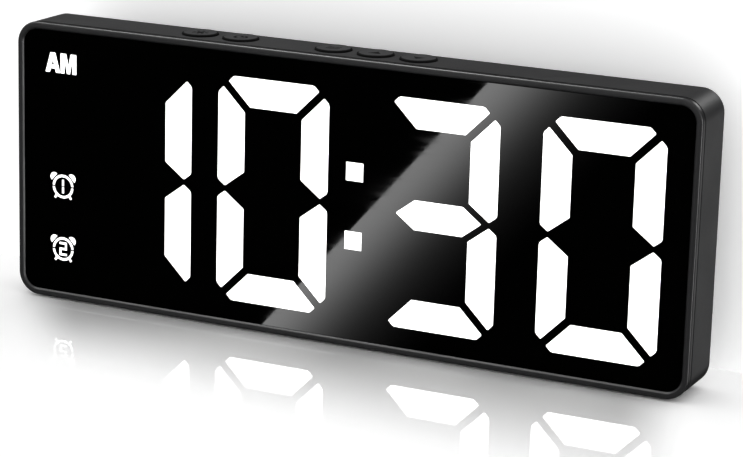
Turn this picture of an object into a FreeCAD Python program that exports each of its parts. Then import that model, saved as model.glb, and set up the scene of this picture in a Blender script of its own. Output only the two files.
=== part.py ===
"""Desk alarm clock with a large digit display, five top buttons and a battery box at the back.

X runs left to right, Y from front to back and Z up. The origin is on the table, under the middle
of the clock. Every size is in millimetres.
"""

import FreeCAD, Part
import math
import os
from FreeCAD import Vector, Placement, Rotation

# case
case_width = 160.0
case_height = 62.5
body_depth = 14.0
corner_radius = 5.0
wall = 2.0
back_edge_round = 1.0
foot_proud = 0.5
foot_bed = 0.8
foot_inset = 18.0

# battery box behind the body
box_wall = 2.2
box_corner_radius = 3.0

# bezel and front panel
rim_width = 1.5
rim_depth = 1.4
rim_round = 0.4
rim_chamfer = 0.35
groove_width = 0.5
groove_depth = 0.5
lip_thickness = 0.9
bezel_fit = 0.1
panel_recess = 0.3
panel_thickness = 1.2
panel_fit = 0.1
tape_thickness = 0.15
ledge_width = 2.3
ledge_thickness = 0.9

# digits, placed from the middle of the case's front
digit_width = 26.6
digit_height = 49.8
digit_drop = 0.35
hour_centre = -49.0
hour_pitch = 33.2
minute_centre = 23.4
minute_pitch = 36.1
stroke = 6.45
end_gap = 1.8
middle_gap = 1.5
middle_slope = 0.75
corner_clip = 1.2
clip_round = 1.1
tip_round = 0.25
waist_tip_in = 1.8
waist_tip_rise = 0.6
colon_size = 4.0
colon_centre = 3.8
colon_spread = 15.0
lit_letters = ("bc", "abcdef", "abcdg", "abcdef")

# small signs, placed from the case's left edge, its top and its bottom
sign_depth = 0.3
am_left = 7.15
am_top_gap = 6.45
am_height = 4.45
icon_centre = 11.6
icon_heights = (25.9, 11.5)
ring_radius = 2.7
ring_stroke = 0.55
ring_break = 0.35
bell_radius = 1.05
bell_gap = 0.3
numeral_height = 3.1
numeral_stroke = 0.5

# display block and circuit board
block_thickness = 3.0
light_air = 0.4
led_height = 0.9
led_size = 2.0
board_thickness = 1.6
board_fit = 0.3
screw_radius = 0.9
screw_head_radius = 1.8
screw_head_height = 1.2
screw_fit = 0.05
post_radius = 2.6
post_gap = 0.4
gusset_width = 6.3
gusset_height = 5.8
clamp_radius = 1.5

# buttons and their switches
button_radius = 4.0
button_proud = 0.5
button_travel = 0.4
button_fit = 0.1
button_edge_round = 0.35
button_web = 1.95
left_pair_first = -37.7
right_three_first = -5.35
flange_side_lap = 0.3
flange_front_lap = 0.3
flange_thickness = 1.0
stem_radius = 1.2
icon_engraving = 0.2
moving_gap = 0.3
switch_width = 6.0
switch_height = 4.0
switch_bore_depth = 2.2
plunger_radius = 0.9
plunger_length = 2.6
plunger_fit = 0.07

# cells, contacts and door
cell_radius = 5.25
cell_length = 44.5
cell_nub_radius = 1.9
cell_nub_length = 0.9
cell_spacing = 0.4
cell_count = 3
cell_gap = 0.3
contact_thickness = 0.4
contact_margin = 0.95
spring_length = 5.6
spring_wire_radius = 0.3
spring_coil_radius = 2.9
spring_turns = 4
bay_floor = 1.2
door_thickness = 1.6
door_tongue = 0.8
door_fit = 0.15
door_gap = 0.4
door_grip_count = 6
door_grip_start = 5.0
door_grip_width = 0.8
door_grip_depth = 0.35
door_grip_length = 12.0

# sockets and small electrical parts
usb_width = 8.94
usb_height = 3.26
usb_shell = 0.3
usb_x = 52.0
usb_z = 12.0
buzzer_radius = 6.0
buzzer_height = 5.2
buzzer_x = -38.0
buzzer_z = 22.0
sound_hole_radius = 0.7
sound_hole_ring = 2.6
chip_x = 20.0
chip_z = 26.0
chip_length = 18.0
chip_width = 7.6
chip_height = 2.3
leg_pitch = 1.27
leg_count = 14
leg_width = 0.4
leg_reach = 1.4
leg_thickness = 0.2
resistor_count = 8
resistor_pitch = 2.6
resistor_length = 1.6
crystal_radius = 1.0
crystal_length = 6.0
capacitor_radius = 2.5
capacitor_height = 5.2
capacitor_x = 38.0
capacitor_z = 28.0
plug_x = -18.0
plug_z = 44.0
plug_pitch = 2.5
plug_width = 6.4
plug_height = 4.4
plug_rise = 3.0
lead_radius = 0.55
lead_bend = 1.0
lead_clearance = 0.15

# places worked out from the sizes above
box_depth = bay_floor - wall + cell_gap + 2 * cell_radius + door_gap + door_thickness
total_depth = body_depth + box_depth
half_width = case_width / 2
left_edge = -half_width
case_bottom = foot_proud
case_top = case_bottom + case_height
front = -total_depth / 2
body_back = front + body_depth
box_back = total_depth / 2
back_inside = body_back - wall
groove_front = front + rim_depth
housing_front = groove_front + groove_width
panel_front = front + panel_recess
panel_back = panel_front + panel_thickness
pocket_floor = panel_back + tape_thickness
ledge_back = housing_front + ledge_thickness
block_back = panel_back + block_thickness
board_back = block_back + board_thickness
light_back = block_back - led_height - light_air
roof = case_top - wall
flange_top = roof - button_fit
flange_bottom = flange_top - flange_thickness
module_top = flange_bottom - button_travel - moving_gap
module_bottom = case_bottom + wall + board_fit
module_half = half_width - wall - board_fit
button_pitch = 2 * button_radius + button_web
flange_width = 2 * (button_radius + flange_side_lap)
flange_depth = 2 * (button_radius + flange_front_lap)
button_y = back_inside - flange_depth / 2 - moving_gap
switch_depth = 2 * (button_y - board_back)
stem_bottom = flange_bottom - 0.5
switch_top = stem_bottom - button_travel - moving_gap - 0.6
cell_pitch = 2 * cell_radius + cell_spacing
contact_width = 2 * (cell_radius - contact_margin)
bay_half_length = (cell_length + spring_length + 2 * contact_thickness) / 2
bay_half_height = cell_count * cell_pitch / 2 + cell_gap
box_half_width = bay_half_length + box_wall
box_top = case_bottom + 2 * (bay_half_height + box_wall)
bay_middle = case_bottom + box_wall + bay_half_height
bay_front = back_inside + bay_floor
cell_y = bay_front + cell_gap + cell_radius
door_front = box_back - door_thickness
screw_inset = wall + post_radius + post_gap
screw_x = half_width - screw_inset
screw_heights = (case_bottom + screw_inset, case_top - screw_inset)
button_places = [left_pair_first + button_pitch * i for i in range(2)]
button_places += [right_three_first + button_pitch * i for i in range(3)]
digit_bottom = (case_bottom + case_top - digit_height) / 2 - digit_drop
colon_heights = [digit_bottom + (digit_height + s * colon_spread) / 2 for s in (-1, 1)]
am_bottom = case_top - am_top_gap - am_height
digit_centres = [hour_centre, hour_centre + hour_pitch]
digit_centres += [minute_centre, minute_centre + minute_pitch]


def box(x0, x1, y0, y1, z0, z1):
    return Part.makeBox(x1 - x0, y1 - y0, z1 - z0, Vector(x0, y0, z0))


def rounded_slab(x0, x1, z0, z1, radius, y0, y1):
    """A plate across Y whose outline is a rectangle with round corners."""
    slab = box(x0, x1, y0, y1, z0, z1)
    if radius <= 0:
        return slab
    upright = [e for e in slab.Edges if abs(e.tangentAt(e.FirstParameter).y) > 0.9]
    return slab.makeFillet(radius, upright)


def case_slab(inset, y0, y1):
    """The case outline, moved in by inset, between two depths."""
    return rounded_slab(
        inset - half_width, half_width - inset, case_bottom + inset, case_top - inset,
        max(corner_radius - inset, 0.8), y0, y1,
    )


def rod_y(x, z, radius, y0, y1):
    return Part.makeCylinder(radius, y1 - y0, Vector(x, y0, z), Vector(0, 1, 0))


def rod_x(y, z, radius, x0, x1):
    return Part.makeCylinder(radius, x1 - x0, Vector(x0, y, z), Vector(1, 0, 0))


def rod_z(x, y, radius, z0, z1):
    return Part.makeCylinder(radius, z1 - z0, Vector(x, y, z0))


def prism_y(points, y0, y1):
    """A straight prism along Y over a closed outline of (x, z) points."""
    corners = [Vector(x, y0, z) for x, z in points]
    face = Part.Face(Part.makePolygon(corners + corners[:1]))
    return face.extrude(Vector(0, y1 - y0, 0))


def prism_z(points, z0, z1):
    """A straight prism along Z over a closed outline of (x, y) points."""
    corners = [Vector(x, y, z0) for x, y in points]
    face = Part.Face(Part.makePolygon(corners + corners[:1]))
    return face.extrude(Vector(0, 0, z1 - z0))


def outer_edges_at(shape, y):
    """Edges of the outer outline that lie flat at one depth."""
    return [e for e in shape.Edges
            if abs(e.BoundBox.YMin - y) < 1e-4 and abs(e.BoundBox.YMax - y) < 1e-4]


def fused(shapes):
    whole = shapes[0]
    if len(shapes) > 1:
        whole = whole.multiFuse(shapes[1:]).removeSplitter()
    return whole


def save(name, shape):
    solids = shape.Solids
    assert solids and all(s.isValid() and s.isClosed() for s in solids), name
    result = solids[0] if len(solids) == 1 else Part.makeCompound(solids)
    result.exportStep(f"parts/{name}.step")
    print(f"{name}: {len(solids)} solid(s), {sum(s.Volume for s in solids):.1f} mm3")


# ---- display outlines -------------------------------------------------------------------------

def segment_outline(letter):
    """One of the seven strokes of a digit, as (x, z) points from the digit's lower left corner."""
    half_gap = end_gap / math.sqrt(2)
    w, h = digit_width, digit_height
    middle = h / 2
    tip_rise, tip_in, slope = waist_tip_rise, waist_tip_in, middle_slope
    upper_left = [
        (0, h - 2 * corner_clip - half_gap),
        (corner_clip, h - corner_clip - half_gap),
        (stroke, h - stroke - half_gap),
        (stroke, middle + tip_rise + slope * (stroke - tip_in)),
        (tip_in, middle + tip_rise),
        (0, middle + tip_rise + slope * tip_in),
    ]
    top = [
        (2 * corner_clip + half_gap, h),
        (w - 2 * corner_clip - half_gap, h),
        (w - corner_clip - half_gap, h - corner_clip),
        (w - stroke - half_gap, h - stroke),
        (stroke + half_gap, h - stroke),
        (corner_clip + half_gap, h - corner_clip),
    ]
    drop = middle_gap * math.sqrt(1 + slope * slope)
    bar_tip = tip_in + (drop - tip_rise) / slope
    bar_corner = bar_tip + stroke / 2 / slope
    bar = [
        (bar_tip, middle),
        (bar_corner, middle + stroke / 2),
        (w - bar_corner, middle + stroke / 2),
        (w - bar_tip, middle),
        (w - bar_corner, middle - stroke / 2),
        (bar_corner, middle - stroke / 2),
    ]

    def mirrored(points, across, up):
        return [(w - x if across else x, h - z if up else z) for x, z in points]

    return {
        "a": top,
        "b": mirrored(upper_left, True, False),
        "c": mirrored(upper_left, True, True),
        "d": mirrored(top, False, True),
        "e": mirrored(upper_left, False, True),
        "f": upper_left,
        "g": bar,
    }[letter]


def rounded_prism(points, y0, y1):
    """A prism along Y with its shallow corners rounded well and its sharp ones a little."""
    prism = prism_y(points, y0, y1)
    shallow, sharp = [], []
    for edge in prism.Edges:
        if edge.BoundBox.YMax - edge.BoundBox.YMin < (y1 - y0) / 2:
            continue
        x, z = edge.BoundBox.Center.x, edge.BoundBox.Center.z
        index = min(range(len(points)), key=lambda i: math.dist(points[i], (x, z)))
        here, before, after = points[index], points[index - 1], points[(index + 1) % len(points)]
        into = Vector(here[0] - before[0], here[1] - before[1], 0)
        out = Vector(after[0] - here[0], after[1] - here[1], 0)
        near_clip = min(into.Length, out.Length) < 2 * corner_clip
        (shallow if near_clip and into.getAngle(out) < math.radians(60) else sharp).append(edge)
    if shallow:
        prism = prism.makeFillet(clip_round, shallow)
    kept = [e for e in prism.Edges if any(
        (e.CenterOfMass - old.CenterOfMass).Length < 1e-3 for old in sharp)]
    return prism.makeFillet(tip_round, kept)


def segment_prisms(y0, y1, lit):
    """The lit or the unlit strokes of all four digits between two depths."""
    prisms = []
    for centre, on in zip(digit_centres, lit_letters):
        x_start = centre - digit_width / 2
        for letter in "abcdefg":
            if (letter in on) == lit:
                outline = [(x_start + x, digit_bottom + z) for x, z in segment_outline(letter)]
                prisms.append(rounded_prism(outline, y0, y1))
    return prisms


def colon_prisms(y0, y1):
    half = colon_size / 2
    return [box(colon_centre - half, colon_centre + half, y0, y1, z - half, z + half)
            for z in colon_heights]


def am_prisms(y0, y1):
    """The letters A and M for the morning, drawn from their height."""
    k = am_height / 4.45
    x0 = left_edge + am_left

    def placed(points, shift):
        return [(x0 + (x + shift) * k, am_bottom + z * k) for x, z in points]

    letter_a = [(0, 0), (1.28, 4.45), (2.52, 4.45), (3.8, 0),
                (2.68, 0), (2.44, 0.85), (1.36, 0.85), (1.12, 0)]
    counter = [(1.62, 1.75), (2.18, 1.75), (1.9, 2.95)]
    left_half = [(0, 0), (0, 4.45), (1.45, 4.45), (2.03, 1.9)]
    right_half = [(4.06 - x, z) for x, z in reversed(left_half[:-1])]
    feet = [(3.06, 0), (3.06, 3.1), (2.42, 0), (1.64, 0), (1.0, 3.1), (1.0, 0)]
    a_solid = prism_y(placed(letter_a, 0), y0, y1).cut(prism_y(placed(counter, 0), y0 - 1, y1 + 1))
    m_solid = prism_y(placed(left_half + right_half + feet, 3.9), y0, y1)
    return [a_solid, m_solid]


def numeral_prisms(digit, x, z, y0, y1):
    """A small 1 or 2 made of straight strokes, for the two alarms."""
    s, h, w = numeral_stroke, numeral_height, numeral_height * 0.62
    low, high = z - h / 2, z + h / 2
    if digit == 1:
        return [box(x - s / 2, x + s / 2, y0, y1, low, z - s / 4),
                box(x - s / 2, x + s / 2, y0, y1, z + s / 4, high)]
    left, right = x - w / 2, x + w / 2
    strokes = [
        (left, right, high - s, high), (right - s, right, z, high),
        (left, right, z - s / 2, z + s / 2), (left, left + s, low, z), (left, right, low, low + s),
    ]
    return [fused([box(a, b, y0, y1, c, d) for a, b, c, d in strokes])]


def alarm_icon_prisms(digit, z_centre, y0, y1):
    """A bell clock: a ring open at both sides, two bells, two feet and its number."""
    x, z = left_edge + icon_centre, case_bottom + z_centre
    ring = rod_y(x, z, ring_radius, y0, y1).cut(rod_y(x, z, ring_radius - ring_stroke, y0 - 1, y1 + 1))
    ring = ring.cut(box(x - 2 * ring_radius, x + 2 * ring_radius, y0 - 1, y1 + 1,
                        z - ring_break / 2, z + ring_break / 2))
    feet = []
    bells = []
    for side in (-1, 1):
        foot = box(-ring_stroke / 2, ring_stroke / 2, y0, y1,
                   -ring_radius - 0.75, -ring_radius + ring_stroke / 2)
        foot.Placement = Placement(Vector(x, 0, z), Rotation(Vector(0, 1, 0), -38 * side))
        feet.append(foot)
        reach = ring_radius + bell_gap
        dome = rod_y(0, reach, bell_radius, y0, y1)
        dome = dome.cut(box(-2, 2, y0 - 1, y1 + 1, -1, reach))
        dome.Placement = Placement(Vector(x, 0, z), Rotation(Vector(0, 1, 0), 48 * side))
        bells.append(dome)
    return fused([ring] + feet).Solids + bells + numeral_prisms(digit, x, z, y0, y1)


def sign_prisms(y0, y1):
    icons = []
    for number, height in enumerate(icon_heights, 1):
        icons += alarm_icon_prisms(number, height, y0, y1)
    return icons


# ---- front ------------------------------------------------------------------------------------

def front_bezel():
    """Rim frame with a pocket for the panel, a ledge behind it and four screw posts."""
    rim = case_slab(0, front, groove_front)
    rim = rim.makeFillet(rim_round, outer_edges_at(rim, front))
    neck = case_slab(groove_depth, groove_front, housing_front)
    tongue = case_slab(lip_thickness + bezel_fit, housing_front, ledge_back)
    pocket = case_slab(rim_width, front - 1, pocket_floor)
    flare = Part.makeLoft([
        outline_wire(rim_width - rim_chamfer, front), outline_wire(rim_width, front + rim_chamfer),
    ], True, True)
    opening_inset = rim_width + ledge_width
    opening = rounded_slab(
        opening_inset - half_width, half_width - opening_inset,
        case_bottom + opening_inset, case_top - opening_inset, 0.8, pocket_floor - 1, ledge_back + 1,
    )
    frame = fused([rim, neck, tongue]).cut(fused([pocket, flare, opening]))
    posts = []
    for x_side in (-1, 1):
        for z in screw_heights:
            posts.append(rod_y(x_side * screw_x, z, post_radius, ledge_back - 0.6, back_inside - bezel_fit))
            posts.append(gusset(x_side, z > case_height / 2, pocket_floor, block_back - board_fit))
    frame = fused([frame] + posts)
    holes = [rod_y(s * screw_x, z, screw_radius + screw_fit, block_back, back_inside + 1)
             for s in (-1, 1) for z in screw_heights]
    return frame.cut(fused(holes))


def outline_wire(inset, y):
    """The case outline, moved in by inset, as one wire at a depth."""
    slab = case_slab(inset, y, y + 1)
    face = min(slab.Faces, key=lambda f: f.CenterOfMass.y)
    return face.OuterWire


def gusset(x_side, upper, y0, y1):
    """A solid corner of the bezel that carries a screw post."""
    x_out, x_in = half_width - wall - bezel_fit, half_width - wall - gusset_width
    z_out = case_top - wall - bezel_fit if upper else case_bottom + wall + bezel_fit
    z_in = case_top - wall - gusset_height if upper else case_bottom + wall + gusset_height
    block = box(min(x_side * x_in, x_side * x_out), max(x_side * x_in, x_side * x_out), y0, y1,
                min(z_in, z_out), max(z_in, z_out))
    return block.common(case_slab(wall + bezel_fit, y0, y1))


def corner_notches(clearance, y0, y1):
    """Room around the four gussets and posts."""
    reach_x = half_width - wall - gusset_width - clearance
    notches = []
    for side in (-1, 1):
        x0, x1 = sorted((side * reach_x, side * (half_width + 1)))
        notches.append(box(x0, x1, y0, y1, case_bottom - 1, case_bottom + wall + gusset_height + clearance))
        notches.append(box(x0, x1, y0, y1, case_top - wall - gusset_height - clearance, case_top + 1))
    return fused(notches)


def front_panel():
    """Gloss panel with a window for every stroke and a shallow bed for every sign."""
    panel = case_slab(rim_width + panel_fit, panel_front, panel_back)
    windows = segment_prisms(panel_front - 1, panel_back + 1, True)
    windows += segment_prisms(panel_front - 1, panel_back + 1, False)
    windows += colon_prisms(panel_front - 1, panel_back + 1)
    beds = am_prisms(panel_front - 1, panel_front + sign_depth)
    beds += sign_prisms(panel_front - 1, panel_front + sign_depth)
    return panel.cut(windows + beds)


def panel_tape():
    """Thin adhesive frame between the panel and the bezel's ledge."""
    inset = rim_width + 2 * panel_fit
    opening_inset = rim_width + ledge_width
    outer = case_slab(inset, panel_back, pocket_floor)
    inner = rounded_slab(
        opening_inset - half_width, half_width - opening_inset,
        case_bottom + opening_inset, case_top - opening_inset, 0.8, panel_back - 1, pocket_floor + 1,
    )
    return outer.cut(inner)


def light_block():
    """Reflector block: its deep pockets hold the diffusers and keep their light apart."""
    inset = rim_width + ledge_width + board_fit
    nose = rounded_slab(inset - half_width, half_width - inset, case_bottom + inset,
                        case_top - inset, 0.8, panel_back, ledge_back + board_fit)
    base = box(-module_half, module_half, ledge_back + board_fit, block_back, module_bottom, module_top)
    pockets = segment_prisms(panel_back - 1, block_back + 1, True)
    pockets += segment_prisms(panel_back - 1, block_back + 1, False)
    pockets += colon_prisms(panel_back - 1, block_back + 1)
    reach = led_size / 2 + 2 * board_fit
    pockets += [box(x - reach, x + reach, panel_back - 1, block_back + 1, z - reach, z + reach)
                for x, z in sign_lamp_places()]
    pilots = [rod_y(x, z, screw_radius + screw_fit, block_back - 2.4, block_back + 1)
              for x, z in module_screw_places()]
    nose = nose.common(box(-half_width, half_width, panel_back, block_back, 0, module_top))
    block = fused([nose, base])
    return block.cut([corner_notches(board_fit, panel_back - 1, block_back + 1)] + pockets + pilots)


def module_screw_places():
    """Two screws in each outer digit, in the black fields between its strokes."""
    fields = (0.3, 0.7)
    return [(digit_centres[i], digit_bottom + digit_height * f) for i in (0, 3) for f in fields]


# ---- electronics ------------------------------------------------------------------------------

def led_chips():
    """Three or two small lamps behind every stroke, one behind each colon dot and sign."""
    chips = []

    def chip(x, z):
        half = led_size / 2
        chips.append(box(x - half, x + half, block_back - led_height, block_back, z - half, z + half))

    for centre in digit_centres:
        x0 = centre - digit_width / 2
        for letter in "abcdefg":
            points = segment_outline(letter)
            x_mid = sum(x for x, z in points) / len(points)
            z_mid = sum(z for x, z in points) / len(points)
            along = digit_width / 6
            for step in (-1, 0, 1):
                if letter in "adg":
                    chip(x0 + x_mid + step * along * 0.7, digit_bottom + z_mid)
                else:
                    chip(x0 + x_mid, digit_bottom + z_mid + step * along)
    for z in colon_heights:
        chip(colon_centre, z)
    for x, z in sign_lamp_places():
        chip(x, z)
    return Part.makeCompound(chips)


def sign_lamp_places():
    places = [(left_edge + icon_centre, case_bottom + z) for z in icon_heights]
    places.append((left_edge + am_left + am_height * 0.88, am_bottom + am_height / 2))
    return places


def main_board():
    """Circuit board that carries the lamps in front and everything else behind."""
    board = box(-module_half, module_half, block_back, board_back, module_bottom, module_top)
    holes = [rod_y(x, z, screw_radius + 2 * screw_fit, block_back - 1, board_back + 1)
             for x, z in module_screw_places()]
    return board.cut([corner_notches(board_fit, block_back - 1, board_back + 1)] + holes)


def screw_y(x, z, head_face, tip, head_height):
    """Pan head screw whose shank runs from its head towards the front."""
    head = rod_y(x, z, screw_head_radius, head_face, head_face + head_height)
    head = head.makeFillet(head_height * 0.35, outer_edges_at(head, head_face + head_height))
    shank = rod_y(x, z, screw_radius, tip, head_face)
    cross = fused([
        box(x - 1.1, x + 1.1, head_face + head_height * 0.4, head_face + head_height + 1, z - 0.2, z + 0.2),
        box(x - 0.2, x + 0.2, head_face + head_height * 0.4, head_face + head_height + 1, z - 1.1, z + 1.1),
    ])
    return fused([head, shank]).cut(cross)


def module_screws():
    return Part.makeCompound([screw_y(x, z, board_back, block_back - 2.2, screw_head_height)
                              for x, z in module_screw_places()])


def case_screws():
    face = body_back - screw_head_height - 0.2
    return Part.makeCompound([screw_y(s * screw_x, z, face, block_back + 0.5, screw_head_height)
                              for s in (-1, 1) for z in screw_heights])


def clock_chip():
    half_x, half_z = chip_length / 2, chip_width / 2
    top = board_back + chip_height
    body = box(chip_x - half_x, chip_x + half_x, board_back + 0.15, top, chip_z - half_z, chip_z + half_z)
    dimple = rod_y(chip_x - half_x + 1.5, chip_z - half_z + 1.5, 0.6, top - 0.2, top + 1)
    return body.cut(dimple)


def chip_legs():
    """Gull wing legs along both long sides of the clock chip."""
    legs = []
    shoulder = board_back + chip_height / 2
    for i in range(leg_count):
        x = chip_x + (i - (leg_count - 1) / 2) * leg_pitch
        for side in (-1, 1):
            edge = chip_z + side * chip_width / 2
            knee, tip = edge + side * leg_reach / 2, edge + side * leg_reach
            parts = [
                (shoulder - leg_thickness, shoulder, edge, knee),
                (board_back, shoulder, knee - side * leg_thickness, knee),
                (board_back, board_back + leg_thickness, knee, tip),
            ]
            legs.append(fused([
                box(x - leg_width / 2, x + leg_width / 2, y0, y1, min(za, zb), max(za, zb))
                for y0, y1, za, zb in parts
            ]))
    return Part.makeCompound(legs)


def small_resistors():
    """A row of chip resistors beside the clock chip."""
    x0 = chip_x - chip_length / 2
    z0 = chip_z - chip_width / 2 - leg_reach - 4
    return Part.makeCompound([
        box(x0 + resistor_pitch * i, x0 + resistor_pitch * i + resistor_length,
            board_back, board_back + 0.5, z0, z0 + resistor_length / 2)
        for i in range(resistor_count)
    ])


def crystal():
    half = crystal_length / 2
    z = chip_z + chip_width / 2 + leg_reach + 3.5
    can = rod_x(board_back + crystal_radius + 0.1, z, crystal_radius, chip_x - half, chip_x + half)
    ends = [e for e in can.Edges if e.BoundBox.XMax - e.BoundBox.XMin < 1e-6]
    return can.makeFillet(0.3, ends)


def smoothing_capacitor():
    top = board_back + capacitor_height
    can = rod_y(capacitor_x, capacitor_z, capacitor_radius, board_back, top)
    return can.makeFillet(0.4, outer_edges_at(can, top))


def buzzer():
    can = rod_y(buzzer_x, buzzer_z, buzzer_radius, board_back, board_back + buzzer_height)
    can = can.makeFillet(0.5, outer_edges_at(can, board_back + buzzer_height))
    return can.cut(rod_y(buzzer_x, buzzer_z, 1.0, board_back + 2, board_back + buzzer_height + 1))


def socket_slab(grow, y0, y1):
    half_x, half_z = usb_width / 2 + grow, usb_height / 2 + grow
    return rounded_slab(usb_x - half_x, usb_x + half_x, usb_z - half_z, usb_z + half_z,
                        half_z - 0.02, y0, y1)


def usb_socket():
    """Pressed metal shell, standing on the board with its mouth in the back wall."""
    shell = socket_slab(0, board_back, body_back - 0.1)
    return shell.cut(socket_slab(-usb_shell, board_back + 1.2, body_back + 1))


def usb_tongue():
    return box(usb_x - 3.3, usb_x + 3.3, board_back + 1.2, body_back - 1.2, usb_z - 0.35, usb_z + 0.35)


def battery_plug():
    """Two way plug in its header on the board."""
    top = board_back + plug_rise
    shell = box(plug_x - plug_width / 2, plug_x + plug_width / 2, board_back, top,
                plug_z - plug_height / 2, plug_z + plug_height / 2)
    slots = []
    for side in (-1, 1):
        x = plug_x + side * plug_pitch / 2
        half = lead_radius + lead_clearance
        slots.append(box(x - half, x + half, top - 1, top + 1, plug_z - 1.4, plug_z + 1.4))
    return shell.cut(slots)


def lead(points):
    """Round insulated wire along straight runs that meet in tangent arcs."""
    spots = [Vector(*p) for p in points]
    edges = []
    start = spots[0]
    for before, corner, after in zip(spots, spots[1:], spots[2:]):
        into = (corner - before).normalize()
        out = (after - corner).normalize()
        turn = math.acos(max(-1.0, min(1.0, into.dot(out))))
        cut_back = lead_bend * math.tan(turn / 2)
        arc_start = corner - into * cut_back
        arc_end = corner + out * cut_back
        bisector = (out - into).normalize()
        centre = corner + bisector * (lead_bend / math.cos(turn / 2))
        arc_middle = centre - bisector * lead_bend
        edges.append(Part.LineSegment(start, arc_start).toShape())
        edges.append(Part.Arc(arc_start, arc_middle, arc_end).toShape())
        start = arc_end
    edges.append(Part.LineSegment(start, spots[-1]).toShape())
    path = Part.Wire(edges)
    heading = (spots[1] - spots[0]).normalize()
    profile = Part.Wire(Part.makeCircle(lead_radius, spots[0], heading))
    return path.makePipeShell([profile], True, False)


def lead_hole(side):
    """Where a lead passes the wall in front of the cells: between two cells, near the bay's end."""
    return side * (bay_half_length - 2.5), bay_middle + side * cell_pitch / 2


def battery_lead(side):
    """One of the two leads: out of the plug, along the back wall and into its hole."""
    y_run = back_inside - 2 * lead_bend - lead_clearance
    x_plug = plug_x + side * plug_pitch / 2
    x_end, z_end = lead_hole(side)
    return lead([
        (x_plug, board_back + plug_rise - 1, plug_z),
        (x_plug, y_run, plug_z),
        (x_plug + side * 3, y_run, plug_z - 5),
        (x_end, y_run, z_end + 8),
        (x_end, y_run, z_end),
        (x_end, bay_front - lead_clearance, z_end),
    ])


# ---- buttons ----------------------------------------------------------------------------------

def button_marks(kind, x, y):
    """Flat outlines of the engraved signs, as prisms that cut into a cap's top."""
    top = case_top + button_proud
    z0, z1 = top - icon_engraving, top + 1

    def bar(x0, x1, y0, y1):
        return box(x + x0, x + x1, y + y0, y + y1, z0, z1)

    def triangle(sign):
        return prism_z([(x - 1.3, y - sign * 0.7), (x + 1.3, y - sign * 0.7), (x, y + sign * 1.1)], z0, z1)

    if kind == "light":
        rays = []
        for i in range(8):
            ray = box(1.15, 1.75, -0.16, 0.16, z0, z1)
            ray.Placement = Placement(Vector(x, y, 0), Rotation(Vector(0, 0, 1), 45 * i))
            rays.append(ray)
        return [rod_z(x, y, 0.75, z0, z1)] + rays
    if kind == "alarm":
        ring = rod_z(x, y, 1.5, z0, z1).cut(rod_z(x, y, 1.15, z0 - 1, z1 + 1))
        return [ring, bar(-0.15, 0.15, -0.1, 0.9), bar(0.15, 0.7, -0.1, 0.2)]
    if kind == "set":
        return [bar(-1.4, 1.4, row - 0.2, row + 0.2) for row in (-0.9, 0, 0.9)]
    return [triangle(1 if kind == "up" else -1)]


def button_cap(x, kind):
    """Round cap with a flange under the roof and a stem over its switch."""
    y = button_y
    cap = rod_z(x, y, button_radius, flange_top - 0.2, case_top + button_proud)
    rim = [e for e in cap.Edges if abs(e.BoundBox.ZMin - case_top - button_proud) < 1e-6
           and abs(e.BoundBox.ZMax - case_top - button_proud) < 1e-6]
    cap = cap.makeFillet(button_edge_round, rim)
    flange = box(x - flange_width / 2, x + flange_width / 2, y - flange_depth / 2, y + flange_depth / 2,
                 flange_bottom, flange_top)
    upright = [e for e in flange.Edges if abs(e.tangentAt(e.FirstParameter).z) > 0.9]
    flange = flange.makeFillet(1.2, upright)
    stem = rod_z(x, y, stem_radius, stem_bottom, flange_bottom)
    return fused([cap, flange, stem]).cut(button_marks(kind, x, y))


def switch_bodies():
    """Side facing push switches along the board's upper edge."""
    bodies = []
    for x in button_places:
        body = box(x - switch_width / 2, x + switch_width / 2, board_back, board_back + switch_depth,
                   switch_top - switch_height, switch_top)
        bore = rod_z(x, button_y, plunger_radius + plunger_fit,
                     switch_top - switch_bore_depth, switch_top + 1)
        bodies.append(body.cut(bore))
    return Part.makeCompound(bodies)


def switch_plunger(x):
    return rod_z(x, button_y, plunger_radius, stem_bottom - plunger_length, stem_bottom)


# ---- cells ------------------------------------------------------------------------------------

def cell_heights():
    return [bay_middle + (i - (cell_count - 1) / 2) * cell_pitch for i in range(cell_count)]


def cell_side(index):
    """Which way a cell's nub points; neighbours point opposite ways, for a series."""
    return 1 if index % 2 else -1


def cell(index):
    side = cell_side(index)
    z = cell_heights()[index]
    nub_tip = side * (bay_half_length - contact_thickness)
    shoulder = nub_tip - side * cell_nub_length
    tail = nub_tip - side * cell_length
    x0, x1 = sorted((shoulder, tail))
    can = rod_x(cell_y, z, cell_radius, x0, x1)
    can = can.makeFillet(0.4, [e for e in can.Edges if e.BoundBox.XMax - e.BoundBox.XMin < 1e-6])
    x0, x1 = sorted((shoulder - side * 0.1, nub_tip))
    return fused([can, rod_x(cell_y, z, cell_nub_radius, x0, x1)])


def coil_spring(rise):
    """A coil of half turns round Z. Each lies in its own tilted plane and runs smoothly into the next."""
    half_turns = []
    step = rise / (2 * spring_turns)
    for i in range(2 * spring_turns):
        side = (-1) ** i
        start = Vector(side * spring_coil_radius, 0, step * i)
        end = Vector(-side * spring_coil_radius, 0, step * (i + 1))
        section = Part.Face(Part.Wire(Part.makeCircle(spring_wire_radius, start, Vector(0, 1, 0))))
        axis = Vector(0, 1, 0).cross(end - start) * side
        half_turns.append(section.revolve((start + end) / 2, axis, 180))
    return fused(half_turns)


def battery_springs():
    """A coil spring at the flat end of every cell."""
    coils = []
    rise = spring_length - 2 * spring_wire_radius - 0.1
    for index, z in enumerate(cell_heights()):
        side = -cell_side(index)
        coil = coil_spring(rise)
        turned = Rotation(Vector(0, 1, 0), -90 * side)
        base = side * (bay_half_length - contact_thickness - spring_wire_radius - 0.05)
        coil.Placement = Placement(Vector(base, cell_y, z), turned)
        coils.append(coil)
    return Part.makeCompound(coils)


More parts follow.
